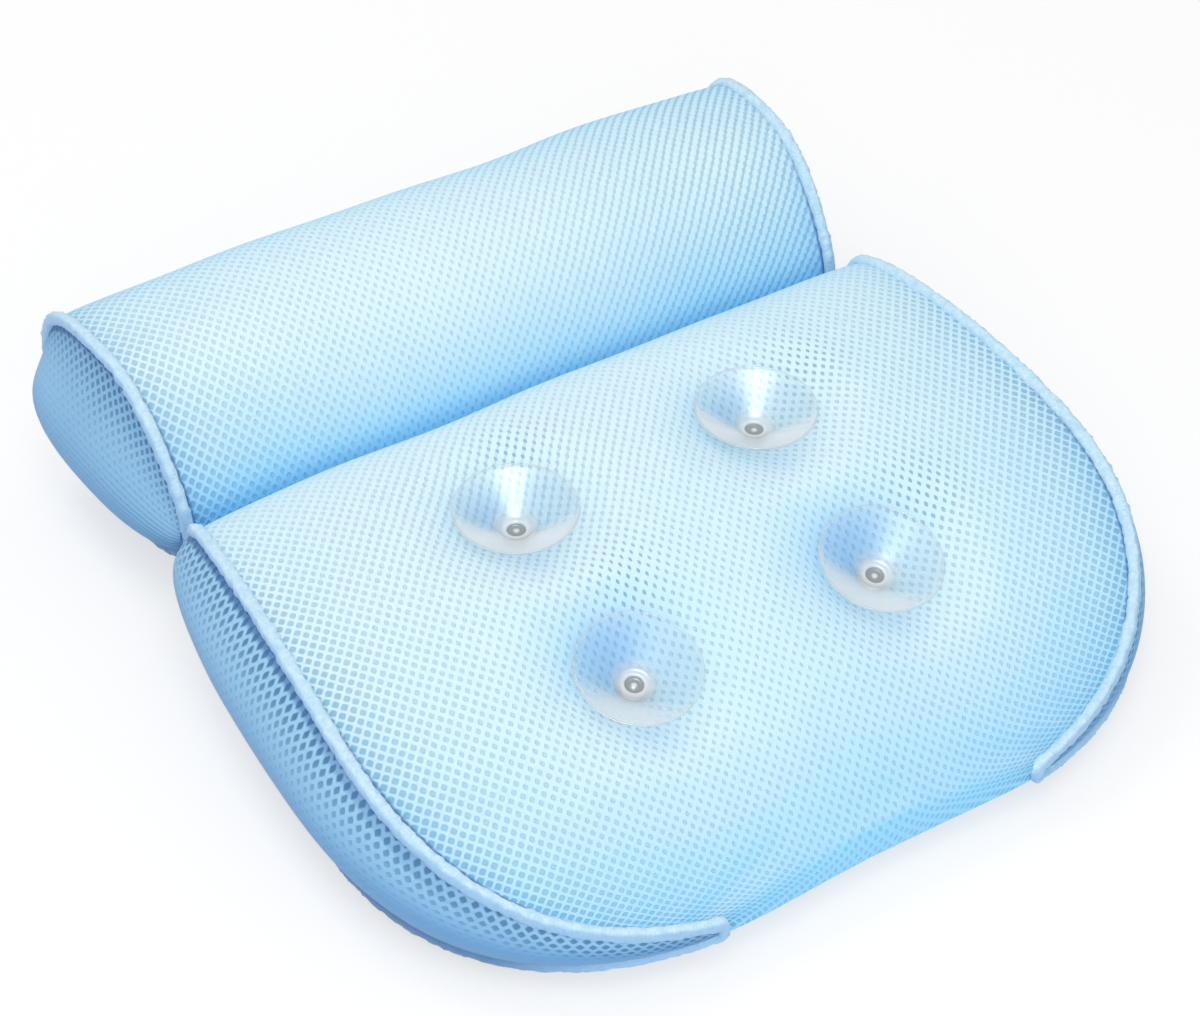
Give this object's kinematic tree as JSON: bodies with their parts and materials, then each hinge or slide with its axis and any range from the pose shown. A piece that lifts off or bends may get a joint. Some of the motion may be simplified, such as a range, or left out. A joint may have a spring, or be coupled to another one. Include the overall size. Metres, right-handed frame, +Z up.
{
  "type": "bath pillow",
  "caption": "Light blue mesh bath pillow: a wedge-shaped back pad with clear suction cups, hinged along a sewn seam to a round head roll.",
  "frame": {"origin": "on the ground under the middle of the whole pillow, lying with its suction cups up", "axes": "+X along the head roll, +Y from the pad to the roll, +Z up, the way the suction cups face"},
  "size_m": [0.368, 0.3844, 0.095],
  "materials": {
    "mesh_cloth": "light blue open spacer mesh, matt",
    "side_cloth": "the same mesh stretched over the sides, a little darker",
    "edge_tape": "pale blue napped edge tape",
    "fibre_filling": "white polyester fibre",
    "clear_pvc": "clear soft vinyl, glossy",
    "washer_plastic": "white moulded plastic"
  },
  "bodies": {
    "pad": {"pad_cover": "mesh_cloth", "pad_filling": "fibre_filling", "pad_side_left": "side_cloth", "pad_side_right": "side_cloth", "pad_binding_left": "edge_tape", "pad_binding_right": "edge_tape", "hinge_seam": "mesh_cloth"},
    "roll": {"roll_cover": "mesh_cloth", "roll_filling": "fibre_filling", "roll_end_left": "side_cloth", "roll_end_right": "side_cloth", "roll_binding_left": "edge_tape", "roll_binding_right": "edge_tape"},
    "cup_seat_1": {"cup_washer_1": "washer_plastic"},
    "cup_seat_2": {"cup_washer_2": "washer_plastic"},
    "cup_seat_3": {"cup_washer_3": "washer_plastic"},
    "cup_seat_4": {"cup_washer_4": "washer_plastic"},
    "cup_1": {"suction_cup_1": "clear_pvc"},
    "cup_2": {"suction_cup_2": "clear_pvc"},
    "cup_3": {"suction_cup_3": "clear_pvc"},
    "cup_4": {"suction_cup_4": "clear_pvc"}
  },
  "joints": [
    {"name": "roll_fold", "type": "hinge", "parent": "pad", "child": "roll", "pos_m": [0, 0.0735, 0.036], "axis": [1, 0, 0], "range_deg": [-45, 40]},
    {"name": "cup_tilt_1", "type": "hinge", "parent": "pad", "child": "cup_seat_1", "pos_m": [-0.05576, -0.00789, 0.05115], "axis": [1, 0, 0], "range_deg": [-6, 6], "stiffness_Nm_per_rad": 0.02},
    {"name": "cup_tilt_2", "type": "hinge", "parent": "pad", "child": "cup_seat_2", "pos_m": [0.05576, -0.00789, 0.05115], "axis": [1, 0, 0], "range_deg": [-6, 6], "stiffness_Nm_per_rad": 0.02},
    {"name": "cup_tilt_3", "type": "hinge", "parent": "pad", "child": "cup_seat_3", "pos_m": [-0.05534, -0.09049, 0.03871], "axis": [1, 0, 0], "range_deg": [-6, 6], "stiffness_Nm_per_rad": 0.02},
    {"name": "cup_tilt_4", "type": "hinge", "parent": "pad", "child": "cup_seat_4", "pos_m": [0.05534, -0.09049, 0.03871], "axis": [1, 0, 0], "range_deg": [-6, 6], "stiffness_Nm_per_rad": 0.02},
    {"name": "cup_turn_1", "type": "hinge", "parent": "cup_seat_1", "child": "cup_1", "pos_m": [-0.05576, -0.00789, 0.05115], "axis": [-0.0139, -0.0305, 0.9994], "continuous": true},
    {"name": "cup_turn_2", "type": "hinge", "parent": "cup_seat_2", "child": "cup_2", "pos_m": [0.05576, -0.00789, 0.05115], "axis": [0.0139, -0.0305, 0.9994], "continuous": true},
    {"name": "cup_turn_3", "type": "hinge", "parent": "cup_seat_3", "child": "cup_3", "pos_m": [-0.05534, -0.09049, 0.03871], "axis": [-0.0136, -0.2575, 0.9662], "continuous": true},
    {"name": "cup_turn_4", "type": "hinge", "parent": "cup_seat_4", "child": "cup_4", "pos_m": [0.05534, -0.09049, 0.03871], "axis": [0.0136, -0.2575, 0.9662], "continuous": true}
  ]
}
